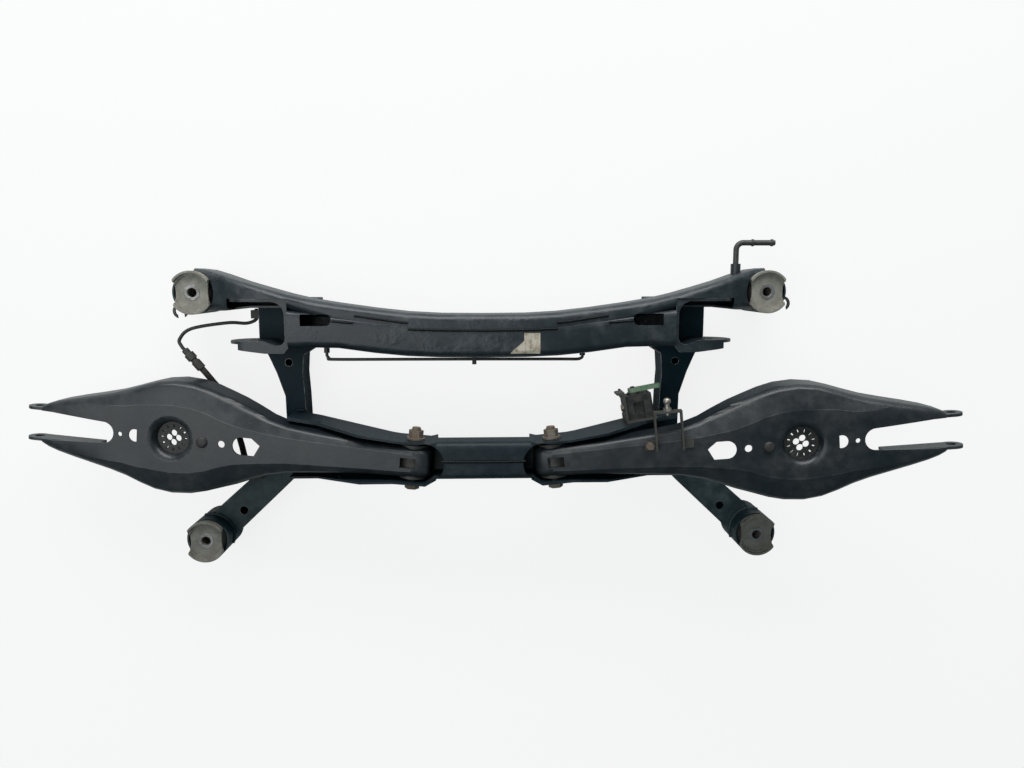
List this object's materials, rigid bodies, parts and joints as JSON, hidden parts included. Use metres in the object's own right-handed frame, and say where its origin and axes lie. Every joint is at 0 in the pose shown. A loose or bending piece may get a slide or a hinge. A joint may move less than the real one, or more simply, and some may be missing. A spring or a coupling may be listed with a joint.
{
  "type": "rear axle subframe",
  "caption": "Welded black steel rear axle subframe with bushed body mounts, link brackets, pivoting pressed spring arms, a level sensor and line fittings.",
  "frame": {"origin": "centre of the four body bolts on the plane of the body mounts", "axes": "+X across the axle to the vehicle's side that carries the level sensor, +Y to the vehicle's front, +Z to the road"},
  "size_m": [1.2951, 0.4657, 0.193],
  "materials": {
    "black_paint": "satin black dip paint, dusty and scuffed",
    "pipe_paint": "black coated tube",
    "bracket_steel": "grey coated sheet with surface rust",
    "stop_steel": "dull bare sheet, dusty",
    "core_steel": "bare turned steel",
    "fastener_zinc": "zinc plate gone rusty",
    "stud_steel": "bare steel ball",
    "bush_rubber": "matt black rubber",
    "hose_rubber": "matt black hose",
    "black_plastic": "grained black plastic",
    "green_plastic": "dull green plastic"
  },
  "bodies": {
    "frame": {"front_crossmember": "black_paint", "left_side_member": "black_paint", "right_side_member": "black_paint", "rear_crossmember": "black_paint", "left_rear_leg": "black_paint", "right_rear_leg": "black_paint", "left_link_bracket": "black_paint", "right_link_bracket": "black_paint", "front_left_sleeve": "black_paint", "front_left_rubber": "bush_rubber", "front_left_core": "core_steel", "front_left_stop": "stop_steel", "front_right_sleeve": "black_paint", "front_right_rubber": "bush_rubber", "front_right_core": "core_steel", "front_right_stop": "stop_steel", "rear_left_sleeve": "black_paint", "rear_left_rubber": "bush_rubber", "rear_left_core": "core_steel", "rear_left_stop": "stop_steel", "rear_right_sleeve": "black_paint", "rear_right_rubber": "bush_rubber", "rear_right_core": "core_steel", "rear_right_stop": "stop_steel", "left_arm_core": "core_steel", "left_pivot_bolt": "fastener_zinc", "left_pivot_nut": "fastener_zinc", "left_nut_washer": "fastener_zinc", "left_head_washer": "fastener_zinc", "right_arm_core": "core_steel", "right_pivot_bolt": "fastener_zinc", "right_pivot_nut": "fastener_zinc", "right_nut_washer": "fastener_zinc", "right_head_washer": "fastener_zinc", "sensor_bracket": "bracket_steel", "sensor_body": "black_plastic", "sensor_screw": "fastener_zinc", "left_hook": "bracket_steel", "right_hook": "bracket_steel", "cable_rail": "pipe_paint", "rail_clip": "black_plastic", "vent_pipe": "pipe_paint", "line_clip": "black_plastic", "brake_line": "pipe_paint", "line_union": "black_plastic", "brake_hose": "hose_rubber"},
    "left_arm": {"left_arm": "black_paint", "left_arm_sleeve": "black_paint", "left_arm_rubber": "bush_rubber", "left_spring_pad": "black_plastic", "left_plug": "black_plastic"},
    "right_arm": {"right_arm": "black_paint", "right_arm_sleeve": "black_paint", "right_arm_rubber": "bush_rubber", "right_spring_pad": "black_plastic", "right_plug": "black_plastic", "rod_strap": "bracket_steel", "strap_screw": "fastener_zinc", "ball_stud": "stud_steel"},
    "sensor_lever": {"sensor_lever": "green_plastic"}
  },
  "joints": [
    {"name": "left_arm_pivot", "type": "hinge", "parent": "frame", "child": "left_arm", "pos_m": [-0.0985, -0.054, 0.112], "axis": [0.0958, 0.9954, 0], "range_deg": [-2, 16], "stiffness_Nm_per_rad": 200},
    {"name": "right_arm_pivot", "type": "hinge", "parent": "frame", "child": "right_arm", "pos_m": [0.0985, -0.054, 0.112], "axis": [0.0958, -0.9954, 0], "range_deg": [-13, 5], "stiffness_Nm_per_rad": 200},
    {"name": "sensor_lever_turn", "type": "hinge", "parent": "frame", "child": "sensor_lever", "pos_m": [0.21409, 0.04033, 0.088], "axis": [-0.1812, 0.9834, 0], "range_deg": [-30, 30]}
  ]
}
